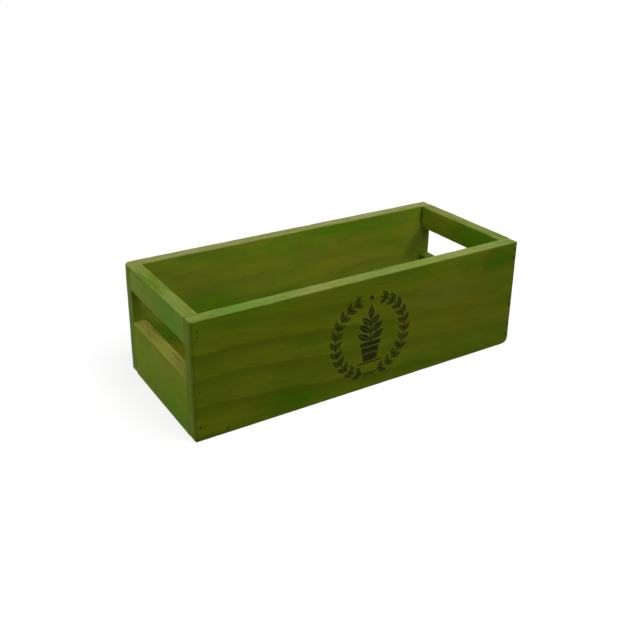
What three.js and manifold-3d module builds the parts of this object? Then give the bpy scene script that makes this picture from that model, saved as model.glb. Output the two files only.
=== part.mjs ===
// A small open-topped wooden crate with a hand slot at each end.
// Two long boards overlap the ends of four cross pieces: at each end a lower board, and above the
// hand slot a handle rail. The base panel lies between the four walls, flush with their lower
// edges. Lost-head nails through the long boards hold the cross pieces and the base.
// Millimetres, +Z up. The origin is on the table under the middle of the crate. +X runs along the
// crate and -Y is its front.

import * as THREE from "three";
import { mergeVertices } from "three/addons/utils/BufferGeometryUtils.js";
import Module from "manifold-3d";

const wasm = await Module();
wasm.setup();

// Overall size
const crateLength = 340;
const crateWidth = 141;
const crateHeight = 108;

// Boards
const sideThickness = 12;
const endThickness = 12;
const railHeight = 23.5;
const slotHeight = 31.5;
const baseThickness = 9;

// Fits
const jointGap = 0.1;
const nailClearance = 0.15;

// Edges, and the corners of the long boards as sanding and use have left them
const edgeRound = 0.8;
const crispCorner = 0.8;
const easedCorner = 1.6;
const softCorner = 2.6;
const wornCorner = 6;
const edgeSteps = 2;
const cornerSteps = 5;

// Lost-head nails
const headDiameter = 1.6;
const headHeight = 1.2;
const shankDiameter = 1.2;
const nailLength = 28;
const tipLength = 2.2;
const nailSink = 0.8;
const nailSides = 8;
const drillStart = 1;

// Where the nails go, as they were driven by hand: the two ends differ a little
const leftNailInset = 5.4;
const rightNailInset = 3.2;
const leftRailNailSpacing = 5;
const rightRailNailSpacing = 8.6;
const leftBoardNailInset = 8.2;
const rightBoardNailInset = 10.1;
const leftBoardNailFoot = 12.7;
const rightBoardNailFoot = 10.9;
const baseNailInset = 29.3;

// Worked out from the sizes above
const endBoardHeight = crateHeight - railHeight - slotHeight;
const crossLength = crateWidth - 2 * (sideThickness + jointGap);
const baseLength = crateLength - 2 * (endThickness + jointGap);

const wood = new THREE.MeshStandardMaterial({ color: 0x5f741f, roughness: 0.62, metalness: 0 });
const baseWood = new THREE.MeshStandardMaterial({ color: 0x5c6a22, roughness: 0.7, metalness: 0 });
const steel = new THREE.MeshStandardMaterial({ color: 0x2b2c24, roughness: 0.55, metalness: 0.8 });

const crate = new THREE.Group();
crate.name = "crate";

function addPiece(name, geometry, material) {
  const mesh = new THREE.Mesh(geometry, material);
  mesh.name = name;
  crate.add(mesh);
  return mesh;
}

// Cutting

// A closed geometry, placed by a matrix, as a solid that can be cut.
function solidOf(geometry, matrix) {
  const bare = geometry.clone().applyMatrix4(matrix);
  bare.deleteAttribute("normal");
  bare.deleteAttribute("uv");
  const merged = mergeVertices(bare);
  const mesh = new wasm.Mesh({
    numProp: 3,
    vertProperties: merged.attributes.position.array,
    triVerts: new Uint32Array(merged.index.array),
  });
  return new wasm.Manifold(mesh);
}

function geometryOf(solid) {
  const mesh = solid.getMesh();
  const indexed = new THREE.BufferGeometry();
  indexed.setAttribute("position", new THREE.BufferAttribute(mesh.vertProperties, mesh.numProp));
  indexed.setIndex(new THREE.BufferAttribute(mesh.triVerts, 1));
  const faceted = indexed.toNonIndexed();
  faceted.computeVertexNormals();
  return faceted;
}

// Takes each tool, a geometry with its own place in the crate, out of a piece.
function cut(piece, tools) {
  piece.updateMatrix();
  const intoPiece = piece.matrix.clone().invert();
  let solid = solidOf(piece.geometry, new THREE.Matrix4());
  for (const tool of tools) {
    const placed = intoPiece.clone().multiply(tool.matrix);
    solid = solid.subtract(solidOf(tool.geometry, placed));
  }
  piece.geometry = geometryOf(solid);
}

// Outlines

// A rectangle centred on the origin, with a radius for each corner.
function roundedRectangle(width, height, radii) {
  const x = width / 2;
  const y = height / 2;
  const quarter = Math.PI / 2;
  const { topLeft, topRight, bottomRight, bottomLeft } = radii;
  const outline = new THREE.Shape();
  outline.absarc(x - topRight, y - topRight, topRight, 0, quarter, false);
  outline.absarc(-x + topLeft, y - topLeft, topLeft, quarter, 2 * quarter, false);
  outline.absarc(-x + bottomLeft, -y + bottomLeft, bottomLeft, 2 * quarter, 3 * quarter, false);
  outline.absarc(x - bottomRight, -y + bottomRight, bottomRight, 3 * quarter, 4 * quarter, false);
  outline.closePath();
  return outline;
}

function evenCorners(radius) {
  return { topLeft: radius, topRight: radius, bottomRight: radius, bottomLeft: radius };
}

// Boards

// A long board lies in the XZ plane. Its two faces are smaller than its outline by the eased edge.
function longBoard(name, side, faceRadii) {
  const face = roundedRectangle(crateLength - 2 * edgeRound, crateHeight - 2 * edgeRound, faceRadii);
  const geometry = new THREE.ExtrudeGeometry(face, {
    depth: sideThickness - 2 * edgeRound,
    bevelThickness: edgeRound,
    bevelSize: edgeRound,
    bevelSegments: edgeSteps,
    curveSegments: cornerSteps,
  });
  geometry.translate(0, 0, edgeRound - sideThickness / 2);
  const board = addPiece(name, geometry, wood);
  board.rotation.x = Math.PI / 2;
  board.position.set(0, (side * (crateWidth - sideThickness)) / 2, crateHeight / 2);
  return board;
}

// A cross piece runs along Y between the long boards, with its length's edges eased.
function crossPiece(name, end, bottom, height) {
  const profile = roundedRectangle(endThickness, height, evenCorners(edgeRound));
  const geometry = new THREE.ExtrudeGeometry(profile, {
    depth: crossLength,
    bevelEnabled: false,
    curveSegments: edgeSteps,
  });
  geometry.translate(0, 0, -crossLength / 2);
  const piece = addPiece(name, geometry, wood);
  piece.rotation.x = Math.PI / 2;
  piece.position.set((end * (crateLength - endThickness)) / 2, 0, bottom + height / 2);
  return piece;
}

function basePanel() {
  const geometry = new THREE.BoxGeometry(baseLength, crossLength, baseThickness);
  const panel = addPiece("base_panel", geometry, baseWood);
  panel.position.set(0, 0, baseThickness / 2);
  return panel;
}

// Nails

// Profile of a nail along its axis, from the top of the head to the point, grown by a clearance.
function nailProfile(clearance) {
  const head = headDiameter / 2 + clearance;
  const shank = shankDiameter / 2 + clearance;
  const top = clearance > 0 ? -nailSink - drillStart : 0;
  return [
    new THREE.Vector2(0, nailLength + clearance),
    new THREE.Vector2(shank, nailLength - tipLength + clearance),
    new THREE.Vector2(shank, headHeight + clearance),
    new THREE.Vector2(head, headHeight + clearance),
    new THREE.Vector2(head, top),
    new THREE.Vector2(0, top),
  ].reverse();
}

const nailGeometry = new THREE.LatheGeometry(nailProfile(0), nailSides);
const drillGeometry = new THREE.LatheGeometry(nailProfile(nailClearance), nailSides);

// A nail driven straight through a long board, with its head sunk below the face.
function sideNail(name, side, x, z) {
  const nail = addPiece(name, nailGeometry.clone(), steel);
  nail.rotation.z = side > 0 ? Math.PI : 0;
  nail.position.set(x, side * (crateWidth / 2 - nailSink), z);
  nail.updateMatrix();
  return nail;
}

// The hole that a nail makes, in the place of that nail.
function drillFor(nail) {
  return { geometry: drillGeometry, matrix: nail.matrix };
}

// Assembly

const sides = [
  { name: "front", sign: -1 },
  { name: "back", sign: 1 },
];
const ends = [
  {
    name: "left",
    sign: -1,
    nailInset: leftNailInset,
    railNailSpacing: leftRailNailSpacing,
    boardNailInset: leftBoardNailInset,
    boardNailFoot: leftBoardNailFoot,
  },
  {
    name: "right",
    sign: 1,
    nailInset: rightNailInset,
    railNailSpacing: rightRailNailSpacing,
    boardNailInset: rightBoardNailInset,
    boardNailFoot: rightBoardNailFoot,
  },
];
const cornerRadii = {
  front: { ...evenCorners(crispCorner), bottomRight: wornCorner },
  back: { ...evenCorners(crispCorner), topLeft: softCorner, bottomLeft: easedCorner },
};

const longBoards = {};
const sideHoles = {};
for (const side of sides) {
  longBoards[side.name] = longBoard(`${side.name}_board`, side.sign, cornerRadii[side.name]);
  sideHoles[side.name] = [];
}
const base = basePanel();
const baseHoles = [];

for (const end of ends) {
  const railBottom = endBoardHeight + slotHeight;
  const railMiddle = railBottom + railHeight / 2;
  const rail = crossPiece(`${end.name}_handle_rail`, end.sign, railBottom, railHeight);
  const board = crossPiece(`${end.name}_end_board`, end.sign, 0, endBoardHeight);
  const railHoles = [];
  const boardHoles = [];
  const cornerX = end.sign * (crateLength / 2 - end.nailInset);
  const baseX = end.sign * (crateLength / 2 - baseNailInset);
  const seats = [
    { name: "rail_nail_upper", x: cornerX, z: railMiddle + end.railNailSpacing / 2, into: railHoles },
    { name: "rail_nail_lower", x: cornerX, z: railMiddle - end.railNailSpacing / 2, into: railHoles },
    { name: "board_nail_upper", x: cornerX, z: endBoardHeight - end.boardNailInset, into: boardHoles },
    { name: "board_nail_lower", x: cornerX, z: end.boardNailFoot, into: boardHoles },
    { name: "base_nail", x: baseX, z: baseThickness / 2, into: baseHoles },
  ];
  for (const side of sides) {
    for (const seat of seats) {
      const name = `${side.name}_${end.name}_${seat.name}`;
      const drill = drillFor(sideNail(name, side.sign, seat.x, seat.z));
      sideHoles[side.name].push(drill);
      seat.into.push(drill);
    }
  }
  cut(rail, railHoles);
  cut(board, boardHoles);
}
for (const side of sides) {
  cut(longBoards[side.name], sideHoles[side.name]);
}
cut(base, baseHoles);

export default crate;
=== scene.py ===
import math
from types import SimpleNamespace

import bmesh
import bpy
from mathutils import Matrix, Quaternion, Vector, noise


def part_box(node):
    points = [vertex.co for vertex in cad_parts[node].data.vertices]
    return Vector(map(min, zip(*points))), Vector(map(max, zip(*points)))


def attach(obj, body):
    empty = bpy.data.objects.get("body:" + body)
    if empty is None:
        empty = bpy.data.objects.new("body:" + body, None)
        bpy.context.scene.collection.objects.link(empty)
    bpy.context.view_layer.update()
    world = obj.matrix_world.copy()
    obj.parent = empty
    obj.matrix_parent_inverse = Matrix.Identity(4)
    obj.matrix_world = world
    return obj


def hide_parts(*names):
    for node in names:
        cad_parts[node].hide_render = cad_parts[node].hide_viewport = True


# A small nailed crate, stained green, with a hand slot at each end and a stamp on its front

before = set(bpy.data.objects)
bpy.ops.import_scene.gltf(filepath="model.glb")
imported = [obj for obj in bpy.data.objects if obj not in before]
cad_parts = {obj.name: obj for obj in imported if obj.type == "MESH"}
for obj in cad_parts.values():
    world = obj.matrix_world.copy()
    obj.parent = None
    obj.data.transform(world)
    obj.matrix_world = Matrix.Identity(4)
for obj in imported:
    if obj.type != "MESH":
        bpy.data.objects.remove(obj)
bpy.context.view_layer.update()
nodeNames = sorted(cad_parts)
print("frame loaded:", len(nodeNames), "nodes")

mm = 0.001
perMetre = 1000.0
white = (1.0, 1.0, 1.0, 1.0)


def linear(code):
    # a screen colour such as "5f741f" as the linear colour that a shader takes
    parts = [int(code[i:i + 2], 16) / 255 for i in (0, 2, 4)]
    return tuple(c / 12.92 if c <= 0.04045 else ((c + 0.055) / 1.055) ** 2.4 for c in parts) + (1.0,)


# Camera and light

cameraLook = {
    "place": (-393.906 * mm, -600.496 * mm, 393.171 * mm),
    "azimuth": -31.122,
    "elevation": 21.990,
    "roll": 0.224,
    "sensor": 36,
    "lens": 47.15,
    "shift": (0.0336, -0.1002),
    "clip": (0.01, 50),
}


def makeCamera(look):
    a, e = math.radians(look["azimuth"]), math.radians(look["elevation"])
    back = Vector((math.sin(a) * math.cos(e), -math.cos(a) * math.cos(e), math.sin(e)))
    data = bpy.data.cameras.new("camera")
    data.sensor_width = look["sensor"]
    data.lens = look["lens"]
    data.shift_x, data.shift_y = look["shift"]
    data.clip_start, data.clip_end = look["clip"]
    camera = bpy.data.objects.new("camera", data)
    camera.location = look["place"]
    camera.rotation_mode = "QUATERNION"
    roll = Quaternion((0, 0, 1), math.radians(look["roll"]))
    camera.rotation_quaternion = (-back).to_track_quat("-Z", "Y") @ roll
    bpy.context.scene.collection.objects.link(camera)
    bpy.context.scene.camera = camera


lightLook = {
    "top": {"at": (0.12, -0.36, 0.82), "aim": (0.08, -0.17, 0.0), "size": (0.9, 0.6), "power": 9.7},
    "left": {"at": (-1.45, -0.20, 0.56), "aim": (0, 0, 0.05), "size": (0.9, 0.7), "power": 12.2},
    "back": {"at": (-0.65, 1.40, 0.34), "aim": (0, 0, 0.05), "size": (1.0, 0.6), "power": 15.0},
    "right": {"at": (1.55, 0.20, 0.34), "aim": (0, 0, 0.05), "size": (0.8, 0.6), "power": 12.5},
}


def makeLight(name, look):
    data = bpy.data.lights.new(name + "Light", "AREA")
    data.shape = "RECTANGLE"
    data.size, data.size_y = look["size"]
    data.energy = look["power"]
    lamp = bpy.data.objects.new(name + "Light", data)
    lamp.location = look["at"]
    lamp.rotation_mode = "QUATERNION"
    lamp.rotation_quaternion = (Vector(look["aim"]) - Vector(look["at"])).to_track_quat("-Z", "Y")
    bpy.context.scene.collection.objects.link(lamp)


makeCamera(cameraLook)
for lightName, look in lightLook.items():
    makeLight(lightName, look)
bpy.context.scene.view_settings.view_transform = "Standard"
print("camera and lights placed")


# Shader maths

class Shade:
    # an output socket that can be used in plain sums
    def __init__(self, tree, socket=None):
        self.tree = tree
        self.socket = socket

    def node(self, kind, settings=None, inputs=None, out=0):
        made = self.tree.nodes.new(kind)
        for key, value in (settings or {}).items():
            setattr(made, key, value)
        for key, value in (inputs or {}).items():
            if isinstance(value, Shade):
                self.tree.links.new(value.socket, made.inputs[key])
            else:
                made.inputs[key].default_value = value
        return Shade(self.tree, made.outputs[out] if len(made.outputs) else None)

    def math(self, operation, *values):
        return self.node("ShaderNodeMath", {"operation": operation}, dict(enumerate((self,) + values)))

    def __add__(self, other):
        return self.math("ADD", other)

    __radd__ = __add__

    def __sub__(self, other):
        return self.math("SUBTRACT", other)

    def __rsub__(self, other):
        return self.node("ShaderNodeMath", {"operation": "SUBTRACT"}, {0: other, 1: self})

    def __mul__(self, other):
        return self.math("MULTIPLY", other)

    __rmul__ = __mul__

    def __truediv__(self, other):
        return self.math("DIVIDE", other)

    def __rtruediv__(self, other):
        return self.node("ShaderNodeMath", {"operation": "DIVIDE"}, {0: other, 1: self})

    def __neg__(self):
        return self.math("MULTIPLY", -1.0)

    def __abs__(self):
        return self.math("ABSOLUTE")


def lesser(a, b):
    return a.math("MINIMUM", b)


def greater(a, b):
    return a.math("MAXIMUM", b)


def distance(a, b):
    return (a * a + b * b).math("SQRT")


def ease(value, low, high):
    # 0 below low and 1 above high, with a smooth step between; turned round where low is the larger
    settings = {"interpolation_type": "SMOOTHSTEP"}
    return value.node("ShaderNodeMapRange", settings, {"Value": value, "From Min": low, "From Max": high})


def point(x, y, z):
    return x.node("ShaderNodeCombineXYZ", None, {0: x, 1: y, 2: z})


def cloud(where, detail, rough):
    inputs = {"Vector": where, "Scale": 1.0, "Detail": detail, "Roughness": rough}
    return where.node("ShaderNodeTexNoise", {"noise_dimensions": "3D"}, inputs)


def scaledCloud(x, y, z, look):
    # look holds the scale on each axis, the detail and the roughness of the noise
    scales, detail, rough = look
    return cloud(point(x * scales[0], y * scales[1], z * scales[2]), detail, rough)


def blend(factor, first, second):
    return factor.node("ShaderNodeMix", {"data_type": "RGBA"}, {0: factor, 6: first, 7: second}, out=2)


def newMaterial(name):
    material = bpy.data.materials.new(name)
    material.use_nodes = True
    material.node_tree.nodes.clear()
    return material, Shade(material.node_tree)


def finishMaterial(shade, inputs):
    shader = shade.node("ShaderNodeBsdfPrincipled", None, inputs)
    shade.node("ShaderNodeOutputMaterial", None, {"Surface": shader})


def millimetres(shade):
    # the object's own coordinates, in millimetres
    sockets = {"Vector": shade.node("ShaderNodeTexCoord", out=3), "Scale": perMetre}
    scaled = shade.node("ShaderNodeVectorMath", {"operation": "SCALE"}, sockets)
    split = shade.node("ShaderNodeSeparateXYZ", None, {0: scaled})
    return [Shade(shade.tree, output) for output in split.socket.node.outputs]


# Stamp on the front board: a leaf wreath round a potted herb, in millimetres

stampLook = {
    "centre": (0.5, 52.0),
    "ink": linear("17170b"),
    "strength": 0.93,
    "softness": 0.16,
    # wreath: the ring, its leaves (length and half width), the crossed stems and the lozenge on top
    "ring": 37.0,
    "stem": 0.55,
    "leaves": 11,
    "leafStep": 8.9,
    "leafStart": 0.3,
    "leafSize": (9.8, 2.05),
    "leafTilt": 37,
    "cutOff": 50.0,
    "stemSlope": 0.5,
    "stemReach": 6.4,
    "lozenge": 2.5,
    # ribs: half width, and the part of the leaf that they run along
    "rib": 0.26,
    "ribRun": (0.14, 0.82),
    # pot and herb: bars are low, high and half width; leaves are height, length, half width and tilt
    "grow": 1.12,
    "lift": 0.5,
    "pot": (-22.0, -9.8, 9.8),
    "potTaper": 0.15,
    "potBand": (-15.4, 0.4),
    "rim": (-9.0, -5.2, 9.9),
    "ground": (-24.2, -22.9, 11.6),
    "stalk": (-5.4, 18.0, 0.6),
    "topLeaf": (13.5, 13.0, 2.7),
    "sideLeaves": ((-4.0, 14.5, 2.7, 30), (2.6, 13.5, 2.6, 36), (9.0, 11.5, 2.4, 44)),
    # print: the face it is on, and how patchy the ink is
    "onFace": (-0.4, -0.1),
    "onFront": (-60.0, -64.0),
    "blotches": ((0.12, 1.0, 0.5), 4.0, 0.7),
    "blotchEdge": (0.30, 0.50),
    "patchy": 0.35,
    "fibreEdge": (0.55, 0.75),
    "fibre": 0.35,
}


def leaf(along, across, length, halfWidth):
    # below 0 inside a pointed leaf, with a bare rib along its middle
    start, end = stampLook["ribRun"]
    k = along * (2 / length) - 1.0
    body = abs(across) - (1.0 - k * k) * halfWidth
    rib = greater(abs(across) - stampLook["rib"], greater(length * start - along, along - length * end))
    return greater(body, -rib)


def turned(x, z, degrees):
    c, s = math.cos(math.radians(degrees)), math.sin(math.radians(degrees))
    return x * c + z * s, z * c - x * s


def bar(side, z, low, high, halfWidth):
    # below 0 inside an upright bar on the middle line
    return greater(side - halfWidth, greater(low - z, z - high))


def wreath(x, z, side, look):
    # both halves rise from the foot, and each leaf stands in a step of the ring
    steps = side.math("ARCTAN2", -z) * (look["ring"] / look["leafStep"])
    onward = steps.math("FRACT") * look["leafStep"]
    offRing = distance(x, z) - look["ring"]
    along, across = turned(onward - look["leafStart"], abs(offRing), look["leafTilt"])
    last = steps - look["leaves"] - 1.0
    leaves = greater(leaf(along, across, *look["leafSize"]), greater(1.0 - steps, last) * look["cutOff"])
    stem = greater(abs(offRing) - look["stem"], last * look["cutOff"])
    crossed = abs(z + look["ring"] + side * look["stemSlope"]) - look["stem"]
    crossed = greater(crossed, side - look["stemReach"])
    lozenge = side + abs(z - look["ring"]) - look["lozenge"]
    return lesser(lesser(leaves, stem), lesser(crossed, lozenge))


def pottedHerb(x, z, side, look):
    low, high, halfWidth = look["pot"]
    pot = greater(side - (z * look["potTaper"] + halfWidth), greater(low - z, z - high))
    middle, bandHalf = look["potBand"]
    shape = greater(pot, -(abs(z - middle) - bandHalf))
    for name in ("rim", "ground", "stalk"):
        shape = lesser(shape, bar(side, z, *look[name]))
    height, length, width = look["topLeaf"]
    shape = lesser(shape, leaf(z - height, x, length, width))
    for height, length, width, tilt in look["sideLeaves"]:
        along, across = turned(side, z - height, tilt)
        shape = lesser(shape, leaf(along, across, length, width))
    return shape


def stampInk(x, z, look):
    x, z = x - look["centre"][0], z - look["centre"][1]
    side, grow = abs(x), look["grow"]
    herb = pottedHerb(x / grow, (z - look["lift"]) / grow, side / grow, look)
    return ease(lesser(wreath(x, z, side, look), herb), look["softness"], -look["softness"])


# Stained boards

stainLook = {
    "olive": linear("65720f"),
    "green": linear("3f6a03"),
    "brown": linear("736a0e"),
    "late": linear("465305"),
    # tan: rubbed-back stain, and on the tops also painted sheen
    "tan": linear("70783a"),
    "lime": linear("557327"),
    "raw": linear("938860"),
    "red": linear("866c36"),
    "arris": linear("8d7a4a"),
    "scar": linear("4c4418"),
    "endGrain": linear("45560c"),
    "dark": linear("232a06"),
    # deep green, for a dark line in a corner and for painted shade
    "pool": linear("1f3a05"),
}

# a board's finish where its own dictionary says nothing else, with lengths in millimetres
plainFinish = {
    "stains": {},  # colours of its own
    "thin": 0.0,  # how far the stain goes towards tan
    "fall": 0.0, "fallOn": 0.0, "sway": 26.0,  # how the rings drop and waver along the board
    "bandsFade": None,  # dark bands fade along the board: start, end, least
    "bandsTop": None,  # and towards its top: start, end
    "dyedBand": None,  # one ring dyed green: ring, start, end, amount
    "skew": 3.0, "patchEdge": (1.0, 0.35),  # how green patches run through the board and fade out
    "browning": (0.5, 0.75), "tint": 0.3, "marks": 1.0,
    "pools": (),
    "darkEnds": (),  # start, end, depth, amount of painted shade along the end arrises
    "limed": 1.0, "limeMottle": 0.0, "bareFrom": 0.58, "scars": 0.25, "scarShift": 0.0,
    "stamp": False, "endRough": 0.0, "shine": 0.03,
}

# patterns in the wood: scale along and across the grain, detail, roughness, and a shift of each axis
patternLook = {
    "sway": (0.007, 0.016, 2.0, 0.5, (0, 0, 0)),
    "ripple": (0.04, 0.07, 2.0, 0.5, (0, 0, 0)),
    "jag": (0.11, 0.30, 3.0, 0.6, (0, 0, 0)),
    "fibre": (0.014, 0.85, 4.0, 0.6, (0, 0, 0)),
    "fleck": (0.05, 1.5, 2.0, 0.5, (0, 0, 0)),
    "blot": (0.011, 0.03, 3.0, 0.55, (0, 0, 0)),
    "tone": (0.006, 0.022, 3.0, 0.6, (40.0, 0, 0)),
    "mottle": (0.05, 0.16, 3.0, 0.6, (0, 9.0, 0)),
    "smear": (0.018, 0.05, 4.0, 0.62, (0, 3.0, 0)),
    "ragged": (0.03, 0.10, 5.0, 0.65, (0, 17.0, 0)),
    "tint": (0.035, 0.11, 4.0, 0.6, (0, 29.0, 0)),
    "streak": (0.028, 0.2, 4.0, 0.62, (0, 0, 5.0)),
    "thin": (0.045, 0.8, 3.0, 0.65, (0, 0, 31.0)),
    "scar": (0.03, 0.9, 3.0, 0.6, (0, 0, 13.0)),
}
seedShift = (61.7, 23.3, 11.9)


def readBoard(shade, look):
    # where a point is on the board, and the colours of this board's stain
    board = SimpleNamespace(look=look, wood={})
    board.x, board.y, board.z = x, y, z = millimetres(shade)
    byGrain = {"x": (x, z, y), "y": (y, z, x), "flat": (x, y, z)}[look["grain"]]
    board.along, board.across, board.through = byGrain
    # the same, moved by the seed so that no two boards have one pattern
    board.u, board.v, board.w = [p + look["seed"] * s for p, s in zip(byGrain, seedShift)]
    # 0 on a pair of faces and below 0 between them
    board.offX, board.offY, board.offZ = [
        abs(p - (a + b) / 2 * perMetre) - (b - a) / 2 * perMetre
        for p, a, b in zip((x, y, z), *look["box"])]
    board.colours = {**stainLook, **look["stains"]}
    for stain in ("olive", "green", "brown", "late"):
        thinning = 0.0 if stain == "green" else look["thin"]
        thinned = [a + (b - a) * thinning for a, b in zip(board.colours[stain], board.colours["tan"])]
        board.colours[stain] = tuple(c * look["depth"] for c in thinned[:3]) + (1.0,)
    return board


def woodPattern(board, name, slide=0.0):
    alongScale, acrossScale, detail, rough, shift = patternLook[name]
    u = board.u + slide if slide else board.u
    places = (u * alongScale, board.v * acrossScale, board.w * acrossScale)
    return cloud(point(*[p + s if s else p for p, s in zip(places, shift)]), detail, rough)


ringLook = {
    "fall": (-170.0, 60.0),
    "fallOn": (40.0, 200.0),
    "ripple": 5.5,
    "jag": 3.0,
    "lateRise": (0.35, 0.97),
    "lateDrop": (1.0, 0.965),
    "toneLeast": 0.35,
    "toneSpread": 0.65,
    "topFade": 0.6,
}


def addRings(board):
    # growth rings about a pith outside the board, so that flat faces show wide wavering bands
    look = board.look
    sway, ripple, jag = [woodPattern(board, name) - 0.5 for name in ("sway", "ripple", "jag")]
    fall = ease(board.along, *ringLook["fall"]) * look["fall"]
    fall = fall + ease(board.along, *ringLook["fallOn"]) * look["fallOn"]
    ringV = board.across + board.along * look["slope"] + fall + sway * look["sway"]
    ringV = ringV + ripple * ringLook["ripple"] + jag * ringLook["jag"] - look["pith"][0]
    ringW = board.through - look["pith"][1]
    board.rings = distance(ringV, ringW) / look["ringStep"]
    phase = board.rings.math("FRACT")
    late = ease(phase, *ringLook["lateRise"]) * ease(phase, *ringLook["lateDrop"])
    order = board.rings.math("FLOOR") + look["seed"]
    tone = order.node("ShaderNodeTexWhiteNoise", {"noise_dimensions": "1D"}, {"W": order})
    late = late * (tone * ringLook["toneSpread"] + ringLook["toneLeast"])
    if look["bandsFade"]:
        start, end, least = look["bandsFade"]
        late = late * (ease(board.along, end, start) * (1.0 - least) + least)
    if look["bandsTop"]:
        late = late * (1.0 - ease(board.across, *look["bandsTop"]) * ringLook["topFade"])
    board.late = late
    board.v = board.v + fall  # the finer patterns run with the rings


dyeLook = {
    "fleckEdge": (0.66, 0.74),
    "blotEdge": (0.52, 0.68),
    "patchBlot": 0.6,
    "patchRagged": 1.3,
    "bandEdge": (0.03, -0.02),
    "bandStart": 20,
    "bandEnd": 40,
    "bandFill": 0.8,
    "browning": 0.6,
    "tintBrown": (0.5, 0.72),
    "tintGreen": (0.5, 0.28),
    "marks": {"mottle": (0.35, 0.75, 0.3), "smear": (0.40, 0.66, 0.35), "fibre": (0.42, 0.68, 0.24)},
    "fleck": 0.30,
}


def addPatterns(board):
    wood = board.wood
    for name in ("fibre", "blot", "tone", "mottle", "smear", "tint", "streak", "thin"):
        wood[name] = woodPattern(board, name)
    wood["ragged"] = woodPattern(board, "ragged") - 0.5
    wood["fleck"] = ease(woodPattern(board, "fleck"), *dyeLook["fleckEdge"])
    wood["scar"] = woodPattern(board, "scar", board.look["scarShift"])


def dyedPlaces(board):
    # greener places, where the wood took more dye
    look, wood = board.look, board.wood
    greener = ease(wood["blot"], *dyeLook["blotEdge"]) * look["greener"]
    for along, across, reachAlong, reachAcross, amount in look["patches"]:
        a = (board.along - along + (board.through - look["seen"]) * look["skew"]) / reachAlong
        b = (board.across - across) / reachAcross
        far = distance(a, b) + (wood["blot"] - 0.5) * dyeLook["patchBlot"]
        far = far + wood["ragged"] * dyeLook["patchRagged"]
        greener = greater(greener, ease(far, *look["patchEdge"]) * amount)
    if look["dyedBand"]:
        ring, start, end, amount = look["dyedBand"]
        below, above = dyeLook["bandEdge"]
        dyed = ease(board.rings, ring + below, ring + above)
        dyed = dyed * ease(board.along, start - dyeLook["bandStart"], start + dyeLook["bandStart"])
        dyed = dyed * ease(board.along, end + dyeLook["bandEnd"], end - dyeLook["bandEnd"])
        greener = greater(greener, dyed * (dyeLook["bandFill"] + wood["ragged"]) * amount)
    return greener


def plainStain(board):
    # olive with greener and browner places, then dark bands, smears, fibres and flecks
    look, wood, colours = board.look, board.wood, board.colours
    colour = blend(board.greener, colours["olive"], colours["green"])
    colour = blend(ease(wood["tone"], *look["browning"]) * dyeLook["browning"], colour, colours["brown"])
    colour = blend(ease(wood["tint"], *dyeLook["tintBrown"]) * look["tint"], colour, colours["brown"])
    colour = blend(ease(wood["tint"], *dyeLook["tintGreen"]) * look["tint"], colour, colours["green"])
    colour = blend(board.late * look["bands"], colour, colours["late"])
    for name, (start, full, amount) in dyeLook["marks"].items():
        colour = blend(ease(wood[name], start, full) * (amount * look["marks"]), colour, colours["late"])
    return blend(wood["fleck"] * dyeLook["fleck"], colour, colours["dark"])


sawnLook = {
    "edge": (-0.55, -0.2),
    "cover": 0.85,
    "speckle": ((0.5, 1.6, 1.6), 3.0, 0.65),
    "speckleEdge": (0.4, 0.7),
    "speckled": 0.6,
    "banded": 0.55,
}


def sawnEnds(board, colour):
    # the ends of a long board drink more stain and show their rings
    board.ends = ease(board.offX, *sawnLook["edge"])
    speckle = scaledCloud(board.x, board.y, board.z, sawnLook["speckle"])
    speckle = ease(speckle, *sawnLook["speckleEdge"]) * sawnLook["speckled"]
    dense = greater(speckle, board.late * sawnLook["banded"])
    grained = blend(dense, board.colours["endGrain"], board.colours["late"])
    return blend(board.ends * sawnLook["cover"], colour, grained)


# pools of stain, painted shadows and painted light, and painted shade in the inner corners
poolAndShadeLook = {
    "cornerEdge": (-2.2, -0.3),
    "cornerWander": 2.0,
    "inside": (160.0, 158.6),
    # how strongly painted shade darkens the inner corners
    "gathered": 0.6,
    "faceReach": (3.0, 1.5),
    "endReach": (-0.3, -1.5),
    "mottle": 0.6,
    "ragged": 0.5,
    "edge": (1.2, 0.6),
    "nailEdge": (1.9, 0.9),
}


def paintedCornerShade(board, colour):
    # painted shade: the stain is darkened towards the inner corners, at the ends of a cross piece
    wander = (board.wood["mottle"] - 0.5) * poolAndShadeLook["cornerWander"]
    gathered = ease(board.offY + wander, *poolAndShadeLook["cornerEdge"])
    gathered = gathered * ease(abs(board.x), *poolAndShadeLook["inside"])
    return blend(gathered * poolAndShadeLook["gathered"], colour, board.colours["dark"])


def stainPoolsAndPaintedLight(board, colour):
    # pools of stain, knots and nail stains on the face that is seen, along with painted shadows and painted
    # light
    look, wood = board.look, board.wood
    facing = ease(abs(board.through - look["seen"]), *poolAndShadeLook["faceReach"])
    if look["grain"] == "x":
        facing = facing * ease(board.offX, *poolAndShadeLook["endReach"])
    for along, across, reachAlong, reachAcross, lean, stain, amount in look["pools"]:
        b = (board.across - across) / reachAcross
        a = (board.along - along - b * (lean * reachAcross)) / reachAlong
        far = distance(a, b) + (wood["mottle"] - 0.5) * poolAndShadeLook["mottle"]
        far = far + wood["ragged"] * poolAndShadeLook["ragged"]
        colour = blend(ease(far, *poolAndShadeLook["edge"]) * facing * amount, colour, board.colours[stain])
    for along, across, amount in look["nailStains"]:
        far = distance(board.along - along, board.across - across)
        colour = blend(ease(far, *poolAndShadeLook["nailEdge"]) * facing * amount, colour, board.colours["dark"])
    return colour


# tan streaks on the tops are rubbed stain and painted sheen together
rubAndSheenLook = {
    "upper": (-0.9, -0.3),
    "rubbed": 0.9,
    "limeEdge": (0.47, 0.60),
    "bareSpan": 0.1,
    "redEdge": (0.43, 0.34),
    "red": 0.7,
    "scarEdge": (0.57, 0.64),
}


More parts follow.
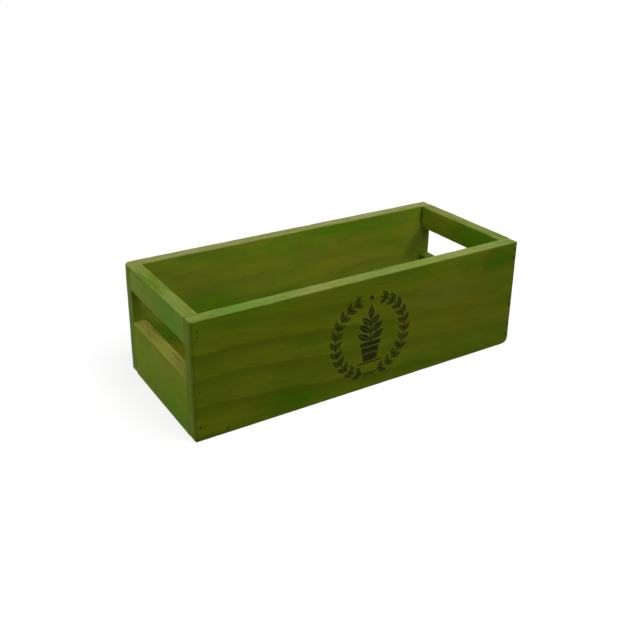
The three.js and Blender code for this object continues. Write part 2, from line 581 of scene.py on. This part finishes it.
def rubbedAndSheenedTop(board, colour):
    # upper edges turn tan in streaks, which is rubbed-back stain and painted sheen together, with a little
    # bare, reddish and scarred wood
    look, wood, colours = board.look, board.wood, board.colours
    upper = ease(board.offZ, *rubAndSheenLook["upper"])
    mottled = ease(wood["smear"], *rubAndSheenLook["limeEdge"]) * look["limeMottle"]
    limed = greater(board.greener * look["limed"], mottled)
    rubbed = upper * ease(wood["streak"], *look["rub"]) * rubAndSheenLook["rubbed"]
    colour = blend(rubbed, colour, blend(limed, colours["tan"], colours["lime"]))
    bare = upper * ease(wood["thin"], look["bareFrom"], look["bareFrom"] + rubAndSheenLook["bareSpan"])
    colour = blend(bare * look["bare"], colour, colours["raw"])
    red = upper * ease(wood["thin"], *rubAndSheenLook["redEdge"])
    colour = blend(red * look["bare"] * rubAndSheenLook["red"], colour, colours["red"])
    scar = upper * ease(wood["scar"], *rubAndSheenLook["scarEdge"])
    return blend(scar * look["scars"], colour, colours["scar"])


arrisLook = {
    "knock": ((0.06, 0.06, 0.06), 3.0, 0.65),
    "wander": 2.2,
    "edge": (-1.3, 0.1),
    "sparedEnds": 0.5,
    "thinned": 0.4,
    "bareEdge": (0.56, 0.68),
    "bare": 0.45,
    "darkRim": 0.8,
}


def wornAndShadedArrises(board, colour):
    # the stain is rubbed thin along the arrises, here and there to bare wood, and painted shade darkens the
    # end arrises where a board asks for it
    look, colours = board.look, board.colours
    if look["grain"] == "y":
        arris = lesser(board.offX, board.offZ)
    else:
        nearer = greater(board.offX, board.offY)
        arris = greater(lesser(board.offX, board.offY), lesser(nearer, board.offZ))
    knock = scaledCloud(board.x, board.y, board.z, arrisLook["knock"])
    worn = ease(arris + (knock - 0.5) * arrisLook["wander"], *arrisLook["edge"])
    if look["grain"] == "x":
        worn = worn * (1.0 - board.ends * arrisLook["sparedEnds"])
    colour = blend(worn * arrisLook["thinned"], colour, colours["tan"])
    bare = worn * ease(knock, *arrisLook["bareEdge"]) * arrisLook["bare"]
    colour = blend(bare, colour, colours["arris"])
    # painted shade along the end arrises
    for start, end, depth, amount in look["darkEnds"]:
        outer = ease(abs(board.through - look["seen"]), depth + arrisLook["darkRim"], depth)
        colour = blend(ease(board.along, start, end) * outer * amount, colour, colours["dark"])
    board.worn = worn
    return colour


def stamped(board, colour, look):
    front = ease(board.offY, *look["onFace"]) * ease(board.y, *look["onFront"])
    patchy = ease(scaledCloud(board.x, board.y, board.z, look["blotches"]), *look["blotchEdge"])
    ink = stampInk(board.x, board.z, look) * front * (patchy * look["patchy"] + (1.0 - look["patchy"]))
    ink = ink * (1.0 - ease(board.wood["fibre"], *look["fibreEdge"]) * look["fibre"])
    return blend(ink * look["strength"], colour, look["ink"])


sheenLook = {
    "rough": 0.44,
    "fibreRough": 0.16,
    "mottleRough": 0.10,
    "wornRough": 0.12,
    "lateHeight": 0.5,
    "fibreHeight": 0.9,
    "fleckHeight": 0.5,
    "mottleHeight": 0.3,
    "bump": 0.32,
    "bumpHeight": 0.22 * mm,
}


def stainedBoard(name, look):
    material, shade = newMaterial(name)
    board = readBoard(shade, look)
    addRings(board)
    addPatterns(board)
    board.greener = dyedPlaces(board)
    colour = plainStain(board)
    if look["grain"] == "x":
        colour = sawnEnds(board, colour)
    if look["grain"] == "y":
        colour = paintedCornerShade(board, colour)
    colour = stainPoolsAndPaintedLight(board, colour)
    colour = rubbedAndSheenedTop(board, colour)
    colour = wornAndShadedArrises(board, colour)
    if look["stamp"]:
        colour = stamped(board, colour, stampLook)

    wood, sheen = board.wood, sheenLook
    rough = wood["fibre"] * sheen["fibreRough"] + wood["mottle"] * sheen["mottleRough"]
    rough = rough + board.worn * sheen["wornRough"] + sheen["rough"]
    if look["endRough"]:
        rough = rough + board.ends * look["endRough"]
    height = board.late * sheen["lateHeight"] + wood["fibre"] * sheen["fibreHeight"]
    height = height - wood["fleck"] * sheen["fleckHeight"] + wood["mottle"] * sheen["mottleHeight"]
    relief = {"Strength": sheen["bump"], "Distance": sheen["bumpHeight"], "Height": height}
    bump = shade.node("ShaderNodeBump", None, relief)
    finishMaterial(shade, {"Base Color": colour, "Roughness": rough, "Normal": bump,
                           "Specular IOR Level": look["shine"]})
    return material


# Board shapes

boardLook = {
    "easing": 0.7 * mm,
    "innerEasing": 0.3 * mm,
    "easingSegments": 3,
    "cornerSegments": 8,
    "grid": 4.0 * mm,
    "support": (0.9 * mm, 1.6 * mm, 2.7 * mm),
    "pitRadius": 0.85 * mm,
    "pitRoom": 1.3,
    "pitCuts": 3,
    "pitDepth": 1.6 * mm,
    "filledDepth": 0.75 * mm,
    "sharpAngle": 44,
}
wearLook = {
    "seedStep": 7.3,
    "wave": 0.05 * mm,
    "waveScale": 0.03,
    "chip": 0.55 * mm,
    "chipReach": 2.0 * mm,
    "knockScale": 0.075,
    "knockFrom": 0.12,
    "knock": 0.9,
    "nickScale": 0.35,
    "nick": 0.28,
}
tiny = 1e-5
mergeReach = 1e-7
squareOn = 0.9


def startBoard(low, high):
    bm = bmesh.new()
    bmesh.ops.create_cube(bm, size=1.0)
    bmesh.ops.scale(bm, vec=high - low, verts=bm.verts)
    bmesh.ops.translate(bm, vec=(low + high) / 2, verts=bm.verts)
    return bm


def bevelEdges(bm, edges, radius, segments):
    bmesh.ops.bevel(bm, geom=edges, offset=radius, offset_type="OFFSET", segments=segments, profile=0.5,
                    affect="EDGES", material=-1)


def cutLines(low, high, keepClear=()):
    # places for the grid along one side, closer near its ends and clear of the nail pits
    count = max(2, round((high - low) / boardLook["grid"]))
    lines = [low + (high - low) * i / count for i in range(1, count)]
    lines += [low + s for s in boardLook["support"]] + [high - s for s in boardLook["support"]]
    r = boardLook["pitRadius"]
    lines = [a for a in lines if all(abs(a - k) > r * boardLook["pitRoom"] for k in keepClear)]
    lines += [k + s for k in keepClear for s in (-r, r)]
    return sorted({round(a, 6) for a in lines})


def gridCut(bm, axis, lines):
    normal = Vector([1.0 if i == axis else 0.0 for i in range(3)])
    for line in lines:
        everything = bm.verts[:] + bm.edges[:] + bm.faces[:]
        bmesh.ops.bisect_plane(bm, geom=everything, dist=mergeReach, plane_co=normal * line,
                               plane_no=normal)


def extrudeFace(bm, face, move):
    made = bmesh.ops.extrude_face_region(bm, geom=[face])
    moved = [g for g in made["geom"] if isinstance(g, bmesh.types.BMVert)]
    bmesh.ops.translate(bm, vec=move, verts=moved)
    bmesh.ops.delete(bm, geom=[face], context="FACES_ONLY")


def faceNear(bm, centre, outward):
    return min((f for f in bm.faces if f.normal.y * outward > squareOn),
               key=lambda f: (f.calc_center_median() - centre).length)


def sinkPit(bm, centre, outward, depth):
    # the grid leaves a small square where a nail goes: make it round and push it in
    square = faceNear(bm, centre, outward)
    bmesh.ops.subdivide_edges(bm, edges=square.edges[:], cuts=boardLook["pitCuts"])
    ring = faceNear(bm, centre, outward)
    for v in ring.verts:
        away = Vector((v.co.x - centre.x, 0, v.co.z - centre.z)).normalized()
        v.co = Vector((centre.x, v.co.y, centre.z)) + away * boardLook["pitRadius"]
    extrudeFace(bm, ring, (0, -outward * depth, 0))


def roundEnd(bm, x, y, radius):
    # turns the square corner of a board, seen from above, into a quarter round
    for v in bm.verts:
        a, b = radius - abs(v.co.x - x), radius - abs(v.co.y - y)
        if a > 0 and b > 0:
            pull = max(a, b) / math.hypot(a, b)
            v.co.x += math.copysign(a * (1 - pull), -x)
            v.co.y += math.copysign(b * (1 - pull), -y)


def wearDown(bm, low, high, seed, skip=()):
    # only ever inwards: faces a little uneven, arrises a little chipped
    look = wearLook
    bm.normal_update()
    moves = []
    for v in bm.verts:
        gaps = sorted(min(v.co[i] - low[i], high[i] - v.co[i]) for i in range(3) if i not in skip)
        nearEdge = max(0.0, 1.0 - gaps[1] / look["chipReach"])
        here = v.co * perMetre
        rise = noise.noise(here * look["waveScale"] + Vector((seed, 0, 0)))
        knock = noise.noise(here * look["knockScale"] + Vector((0, seed, 0)))
        nick = noise.noise(here * look["nickScale"] + Vector((0, 0, seed)))
        chips = max(0.0, knock - look["knockFrom"]) * look["knock"] + max(0.0, nick) * look["nick"]
        moves.append((v, look["wave"] * (1 + rise) + look["chip"] * nearEdge * chips))
    for v, depth in moves:
        v.co -= v.normal * depth
    bm.normal_update()


def finishPiece(bm, name, material, nodes):
    bmesh.ops.remove_doubles(bm, verts=bm.verts, dist=mergeReach)
    bm.normal_update()
    for f in bm.faces:
        f.smooth = True
    sharp = math.radians(boardLook["sharpAngle"])
    for e in bm.edges:
        e.smooth = len(e.link_faces) < 2 or e.calc_face_angle(0.0) < sharp
    mesh = bpy.data.meshes.new(name)
    bm.to_mesh(mesh)
    bm.free()
    mesh.materials.append(material)
    piece = bpy.data.objects.new(name, mesh)
    bpy.context.scene.collection.objects.link(piece)
    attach(piece, "root")
    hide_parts(*nodes)


def finishBoard(bm, node, look, low, high, nailStains=()):
    finish = {**plainFinish, **look["finish"], "box": (tuple(low), tuple(high)), "nailStains": nailStains}
    finishPiece(bm, look["piece"], stainedBoard(look["piece"] + "Stain", finish), [node])


# Long boards
# corners and round ends are radii in millimetres, and nail stains go by part of the nail's name
# a patch is its place along and across, its reach along and across, and its amount
# a pool is the same with its lean and its colour before the amount; some pools are painted shadow or
# painted light

longLooks = {
    "front_board": {
        "piece": "frontBoard",
        "outward": -1,
        "corners": {"topLeft": 1.6, "topRight": 1.6, "bottomRight": 6.8, "bottomLeft": 1.6},
        "roundEnds": {"left": 1.3, "right": 1.2},
        "nailStain": {
            "right_rail": 0.8, "right_board_nail_upper": 0.75, "right_board_nail_lower": 0.45,
            "left_base": 0.5, "right_base": 0.35,
        },
        "finish": {
            "grain": "x", "seed": 1.0, "seen": -70.5, "depth": 0.925, "stamp": True,
            "slope": 0.0, "fall": 18.0, "fallOn": 14.0, "sway": 12.0, "pith": (-110.0, 20.0),
            "ringStep": 21.0, "bands": 0.72, "bandsFade": (-30.0, 100.0, 0.5), "bandsTop": (82.0, 96.0),
            "greener": 0.35, "browning": (0.55, 0.9), "marks": 0.8, "dyedBand": (7.0, -118.0, 40.0, 1.2),
            "skew": 1.0, "patchEdge": (1.15, 0.1),
            "patches": [
                (-82, 13, 46, 16, 0.9), (146, 94, 30, 18, 1.0), (112, 98, 18, 9, 0.5),
                (147, 74, 18, 15, 0.55), (55, 11, 36, 10, 0.5), (50, 104, 28, 12, 0.5),
                (-118, 109, 70, 7, 1.0), (163, 109, 14, 6, 0.9), (0, 110, 60, 6, 0.35),
            ],
            "pools": [
                (-40.0, 95.0, 50.0, 12.0, 0.0, "late", 0.25), (95.0, 60.0, 75.0, 35.0, 0.0, "brown", 0.18),
                (85.0, 76.0, 40.0, 14.0, 0.0, "tan", 0.12), (150.5, 36.5, 2.6, 1.7, 0.0, "brown", 0.8),
                (148.0, 95.0, 26.0, 13.0, 0.0, "late", 0.3),
            ],
            "rub": (0.26, 0.54), "bare": 0.35, "scars": 0.4, "limeMottle": 0.6, "endRough": 0.12,
            # painted shade along both end arrises of the front face
            "darkEnds": [(167.6, 169.4, 0.4, 0.3), (-166.8, -169.2, 1.5, 0.3)],
        },
    },
    "back_board": {
        "piece": "backBoard",
        "outward": 1,
        "corners": {"topLeft": 3.4, "topRight": 1.6, "bottomRight": 1.6, "bottomLeft": 2.4},
        "roundEnds": {"left": 1.2, "right": 1.4},
        "nailStain": {},
        "finish": {
            # the stain is made deeper in tone and thinned towards tan here, which paints in the brighter
            # light on the inner face
            "grain": "x", "seed": 2.0, "seen": 58.5, "depth": 1.23, "thin": 0.14,
            "slope": -0.02, "sway": 20.0, "pith": (-70.0, -30.0), "ringStep": 17.0, "bands": 0.35,
            "greener": 0.4, "patchEdge": (1.1, 0.25), "limed": 0.15,
            "patches": [
                (62, 105, 110, 20, 0.78), (104, 80, 44, 16, 0.7), (-92, 54, 46, 17, 0.75),
                (108, 58, 40, 14, 0.25), (-20, 40, 40, 14, 0.6), (-126, 24, 46, 34, 0.8),
            ],
            "pools": [
                # the first pool is a dark line down the inner right corner; the second is a painted shadow
                # cast by the right end across the inner face
                (157.8, 98.0, 1.7, 11.0, 0.0, "pool", 0.9), (154.0, 71.0, 11.0, 20.0, 0.73, "late", 0.75),
                # the tan pool near the left end is painted light from the left slot
                (-125.0, 5.0, 130.0, 18.0, 0.0, "brown", 0.75), (-149.0, 72.0, 15.0, 22.0, 0.0, "tan", 0.3),
                (-114.0, 107.0, 10.0, 4.0, 0.0, "late", 0.6), (-122.0, 88.0, 7.0, 2.0, 0.0, "late", 0.3),
                (-6.0, 68.0, 7.0, 3.5, 0.9, "green", 0.4), (118.0, 73.0, 9.0, 2.5, 0.0, "late", 0.4),
            ],
            "rub": (0.22, 0.42), "bare": 1.0, "bareFrom": 0.53,
        },
    },
}


def nailPlaces(side):
    # the middles of a long board's nails, read from the frame
    places = {}
    for name in nodeNames:
        if "nail" in name and name.startswith(side):
            low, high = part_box(name)
            places[name] = (low + high) / 2
    return places


def roundCorners(bm, low, high, corners):
    for corner, radius in corners.items():
        x = low.x if "Left" in corner else high.x
        z = high.z if "top" in corner else low.z
        edges = [e for e in bm.edges
                 if all(abs(v.co.x - x) < tiny and abs(v.co.z - z) < tiny for v in e.verts)]
        bevelEdges(bm, edges, radius * mm, boardLook["cornerSegments"])
    bm.normal_update()


def easeRims(bm, outward):
    for facing, easing in ((outward, "easing"), (-outward, "innerEasing")):
        rim = [e for e in bm.edges if sum(f.normal.y * facing > squareOn for f in e.link_faces) == 1]
        bevelEdges(bm, rim, boardLook[easing], boardLook["easingSegments"])
        bm.normal_update()


def makeLongBoard(node, look):
    low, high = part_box(node)
    outward = look["outward"]
    outer = low.y if outward < 0 else high.y
    nails = nailPlaces(node.split("_")[0])
    bm = startBoard(low, high)
    roundCorners(bm, low, high, look["corners"])
    easeRims(bm, outward)
    gridCut(bm, 0, cutLines(low.x, high.x, {round(p.x, 6) for p in nails.values()}))
    gridCut(bm, 2, cutLines(low.z, high.z, {round(p.z, 6) for p in nails.values()}))
    gridCut(bm, 1, [outer - outward * s for s in boardLook["support"]])
    for end, radius in look["roundEnds"].items():
        roundEnd(bm, low.x if end == "left" else high.x, outer, radius * mm)
    wearDown(bm, low, high, look["finish"]["seed"] * wearLook["seedStep"])
    for name, place in nails.items():
        depth = boardLook["filledDepth" if "base" in name else "pitDepth"]
        sinkPit(bm, Vector((place.x, outer, place.z)), outward, depth)
    stains = [(p.x / mm, p.z / mm, amount) for name, p in nails.items()
              for mark, amount in look["nailStain"].items() if mark in name]
    finishBoard(bm, node, look, low, high, stains)


for node, look in longLooks.items():
    makeLongBoard(node, look)
print("long boards made")


# Cross pieces: a handle rail and a lower board at each end

crossLooks = {
    "left_handle_rail": {
        "piece": "leftHandleRail",
        "finish": {
            "grain": "y", "seed": 3.0, "seen": -170.0, "depth": 0.9,
            "slope": 0.02, "pith": (70.0, -150.0), "ringStep": 4.6, "bands": 0.08, "marks": 0.5,
            "greener": 0.7, "patchEdge": (1.4, 0.0),
            "patches": [(-24, 94, 58, 30, 0.85), (34, 108, 26, 9, 0.75)],
            "rub": (0.32, 0.64), "bare": 0.7,
        },
    },
    "right_handle_rail": {
        "piece": "rightHandleRail",
        "finish": {
            "grain": "y", "seed": 4.0, "seen": 158.0, "depth": 0.77,
            "slope": -0.03, "pith": (80.0, 190.0), "ringStep": 5.0, "bands": 0.25,
            "greener": 0.5, "limed": 0.1,
            "patches": [(-34, 92, 60, 40, 1.0)],
            "rub": (0.34, 0.62), "bare": 0.7, "bareFrom": 0.56,
        },
    },
    "left_end_board": {
        "piece": "leftEndBoard",
        "finish": {
            "grain": "y", "seed": 5.0, "seen": -170.0, "depth": 0.9,
            "stains": {"tan": linear("787a30"), "raw": linear("968a48")}, "shine": 0.015,
            "slope": 0.03, "pith": (30.0, -130.0), "ringStep": 5.0, "bands": 0.2, "marks": 0.7,
            "greener": 0.6, "tint": 0.15, "patchEdge": (1.4, 0.0),
            "patches": [(-40, 0, 90, 40, 0.8)],
            "rub": (0.26, 0.44), "bare": 0.95, "scars": 0.8, "scarShift": 18.0,
        },
    },
    "right_end_board": {
        "piece": "rightEndBoard",
        "finish": {
            "grain": "y", "seed": 6.0, "seen": 158.0, "depth": 0.85,
            "slope": -0.02, "pith": (20.0, 210.0), "ringStep": 5.4, "bands": 0.3,
            "greener": 0.8,
            "patches": [(40, 50, 60, 40, 1.0)],
            # painted shade near the top of the inner face, under the rail
            "pools": [(54, 46, 12, 10, 0.0, "pool", 0.75)],
            "rub": (0.35, 0.75), "bare": 0.1,
        },
    },
}


def makeCrossPiece(node, look):
    low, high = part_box(node)
    bm = startBoard(low, high)
    lengthwise = [e for e in bm.edges if abs(e.verts[0].co.y - e.verts[1].co.y) > tiny]
    bevelEdges(bm, lengthwise, boardLook["easing"], boardLook["easingSegments"])
    gridCut(bm, 1, cutLines(low.y, high.y))
    gridCut(bm, 2, cutLines(low.z, high.z))
    wearDown(bm, low, high, look["finish"]["seed"] * wearLook["seedStep"], skip=(1,))
    finishBoard(bm, node, look, low, high)


for node, look in crossLooks.items():
    makeCrossPiece(node, look)
print("cross pieces made")


# Base panel

baseLook = {
    "piece": "basePanel",
    "easing": 0.4 * mm,
    "segments": 2,
    "wearSeed": 51.0,
    "finish": {
        "grain": "flat", "seed": 7.0, "seen": 9.0, "depth": 0.86,
        "slope": 0.04, "pith": (10.0, -46.0), "ringStep": 5.0, "bands": 0.5,
        "greener": 0.4, "browning": (0.1, 0.4),
        "patches": [(60, 20, 60, 30, 0.7)],
        "rub": (0.8, 0.95), "bare": 0.0,
    },
}


def makeBase(look):
    low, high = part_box("base_panel")
    bm = startBoard(low, high)
    bevelEdges(bm, bm.edges[:], look["easing"], look["segments"])
    gridCut(bm, 0, cutLines(low.x, high.x))
    gridCut(bm, 1, cutLines(low.y, high.y))
    wearDown(bm, low, high, look["wearSeed"])
    finishBoard(bm, "base_panel", look, low, high)


makeBase(baseLook)
print("base panel made")


# Nails

nailLook = {
    "headRadius": 0.8 * mm,
    "headHeight": 1.2 * mm,
    "headTaper": 0.92,
    "headBevel": 0.15 * mm,
    "bevelSegments": 2,
    "dishRim": 0.35,
    "dishDepth": 0.12 * mm,
    "shankRadius": 0.6 * mm,
    "tip": 2.2 * mm,
    "tipWidth": 0.12,
    "sides": 20,
    "steel": linear("22230e"),
    "rust": linear("1d1b0a"),
    "grime": ((1.3, 1.3, 1.3), 3.0, 0.6),
    "grimeEdge": (0.40, 0.62),
    "scratch": ((6.0, 6.0, 0.8), 2.0, 0.5),
    "rough": 0.3,
    "grimeRough": 0.4,
    "scratchRough": 0.15,
    "bright": 0.25,
    "shine": 0.1,
    "bump": 0.3,
    "bumpHeight": 0.06 * mm,
    "scratchHeight": 0.5,
}


def nailSteel(look):
    material, shade = newMaterial("nailSteel")
    x, y, z = millimetres(shade)
    grime = scaledCloud(x, y, z, look["grime"])
    scratch = scaledCloud(x, y, z, look["scratch"])
    clean, foul = look["grimeEdge"]
    colour = blend(ease(grime, clean, foul), look["steel"], look["rust"])
    metal = ease(grime, foul, clean) * look["bright"]
    rough = grime * look["grimeRough"] + scratch * look["scratchRough"] + look["rough"]
    relief = {"Strength": look["bump"], "Distance": look["bumpHeight"],
              "Height": grime + scratch * look["scratchHeight"]}
    bump = shade.node("ShaderNodeBump", None, relief)
    finishMaterial(shade, {"Base Color": colour, "Roughness": rough, "Metallic": metal, "Normal": bump,
                           "Specular IOR Level": look["shine"]})
    return material


def highest(bm):
    return max(bm.faces, key=lambda f: f.calc_center_median().z)


def lowest(bm):
    return min(bm.faces, key=lambda f: f.calc_center_median().z)


def makeNail(node, material, look):
    low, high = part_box(node)
    inward = 1 if node.startswith("front") else -1
    # along +Z first: head at 0, shank upwards, point at the end
    head, tip = look["headHeight"], look["tip"]
    neck = look["headRadius"] * look["headTaper"]
    bm = bmesh.new()
    bmesh.ops.create_cone(bm, cap_ends=True, segments=look["sides"], radius1=look["headRadius"],
                          radius2=neck, depth=head)
    bmesh.ops.translate(bm, vec=(0, 0, head / 2), verts=bm.verts)
    top = highest(bm)
    bmesh.ops.inset_region(bm, faces=[top], thickness=neck - look["shankRadius"])
    for lift in (high.y - low.y - head - tip, tip):
        extrudeFace(bm, top, (0, 0, lift))
        top = highest(bm)
    bmesh.ops.scale(bm, vec=(look["tipWidth"], look["tipWidth"], 1), verts=top.verts[:])
    bevelEdges(bm, lowest(bm).edges[:], look["headBevel"], look["bevelSegments"])
    bmesh.ops.inset_region(bm, faces=[lowest(bm)], thickness=look["headRadius"] * look["dishRim"],
                           depth=-look["dishDepth"])
    turn = Quaternion((1, 0, 0), math.radians(-90 * inward)).to_matrix()
    bmesh.ops.rotate(bm, cent=(0, 0, 0), matrix=turn, verts=bm.verts)
    at = Vector(((low.x + high.x) / 2, low.y if inward > 0 else high.y, (low.z + high.z) / 2))
    bmesh.ops.translate(bm, vec=at, verts=bm.verts)
    bmesh.ops.recalc_face_normals(bm, faces=bm.faces[:])
    words = node.split("_")
    name = words[0] + "".join(w.capitalize() for w in words[1:])
    finishPiece(bm, name, material, [node])


nailMaterial = nailSteel(nailLook)
for name in nodeNames:
    if "nail" in name:
        makeNail(name, nailMaterial, nailLook)
print("nails made")


# Floor and surroundings

floorLook = {
    "size": 6.0,
    "cells": 8,
    "bounce": 0.15,
    "shown": 0.72,
    "fade": (0.25, 0.75),
    "ambient": 0.06,
}


def seenRay(shade):
    # 1 for what the camera sees, directly or in a reflection
    rays = shade.node("ShaderNodeLightPath").socket.node.outputs
    seen = Shade(shade.tree, rays["Is Camera Ray"])
    for ray in ("Is Glossy Ray", "Is Transmission Ray"):
        seen = greater(seen, Shade(shade.tree, rays[ray]))
    return seen


def makeFloor(look):
    bm = bmesh.new()
    bmesh.ops.create_grid(bm, x_segments=look["cells"], y_segments=look["cells"], size=look["size"])
    mesh = bpy.data.meshes.new("floor")
    bm.to_mesh(mesh)
    bm.free()
    material, shade = newMaterial("paleFloor")
    x, y = millimetres(shade)[:2]
    shown = ease(distance(x, y) * mm, *look["fade"]) * (1.0 - look["shown"]) + look["shown"]
    matt = shade.node("ShaderNodeBsdfDiffuse", None, {"Color": white})
    glow = shade.node("ShaderNodeEmission", None, {"Color": white, "Strength": 1.0})
    pale = shade.node("ShaderNodeMixShader", None, {0: shown, 1: matt, 2: glow})
    dull = shade.node("ShaderNodeBsdfDiffuse", None, {"Color": (look["bounce"],) * 3 + (1.0,)})
    mixed = shade.node("ShaderNodeMixShader", None, {0: seenRay(shade), 1: dull, 2: pale})
    shade.node("ShaderNodeOutputMaterial", None, {"Surface": mixed})
    mesh.materials.append(material)
    floor = bpy.data.objects.new("floor", mesh)
    bpy.context.scene.collection.objects.link(floor)


def makeSurroundings(look):
    world = bpy.data.worlds.new("surroundings")
    bpy.context.scene.world = world
    world.use_nodes = True
    world.node_tree.nodes.clear()
    shade = Shade(world.node_tree)
    dim = shade.node("ShaderNodeBackground", None, {"Color": white, "Strength": look["ambient"]})
    bright = shade.node("ShaderNodeBackground", None, {"Color": white, "Strength": 1.0})
    mixed = shade.node("ShaderNodeMixShader", None, {0: seenRay(shade), 1: dim, 2: bright})
    shade.node("ShaderNodeOutputWorld", None, {"Surface": mixed})


makeFloor(floorLook)
makeSurroundings(floorLook)
print("floor and surroundings made")

print("crate finished")
